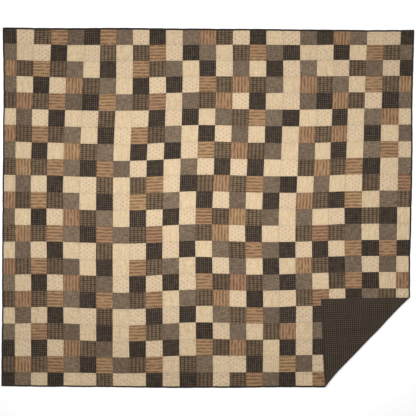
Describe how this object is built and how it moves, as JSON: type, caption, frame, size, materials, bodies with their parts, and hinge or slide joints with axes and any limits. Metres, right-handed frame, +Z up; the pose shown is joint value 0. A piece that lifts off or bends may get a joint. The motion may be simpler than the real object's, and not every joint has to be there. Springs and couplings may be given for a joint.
{
  "type": "patchwork quilt",
  "caption": "Patchwork quilt of square patches, lying flat, with one corner folded over to show its dark backing and a narrow binding.",
  "frame": {"origin": "middle of the quilt's box, on the surface that it lies on", "axes": "+X across the quilt to the folded corner's side, +Y up the quilt from the folded corner's edge, +Z up"},
  "size_m": [3.072, 2.681, 0.024],
  "materials": {
    "pieced_top": "pieced woven cotton in cream, taupe, tan and black, quilted",
    "backing": "dark checked woven cotton",
    "binding": "near-black woven cotton"
  },
  "bodies": {
    "root": {"patchwork_top": "pieced_top", "backing": "backing", "binding_foot": "binding", "binding_head": "binding", "binding_left": "binding", "binding_right": "binding"}
  },
  "joints": []
}
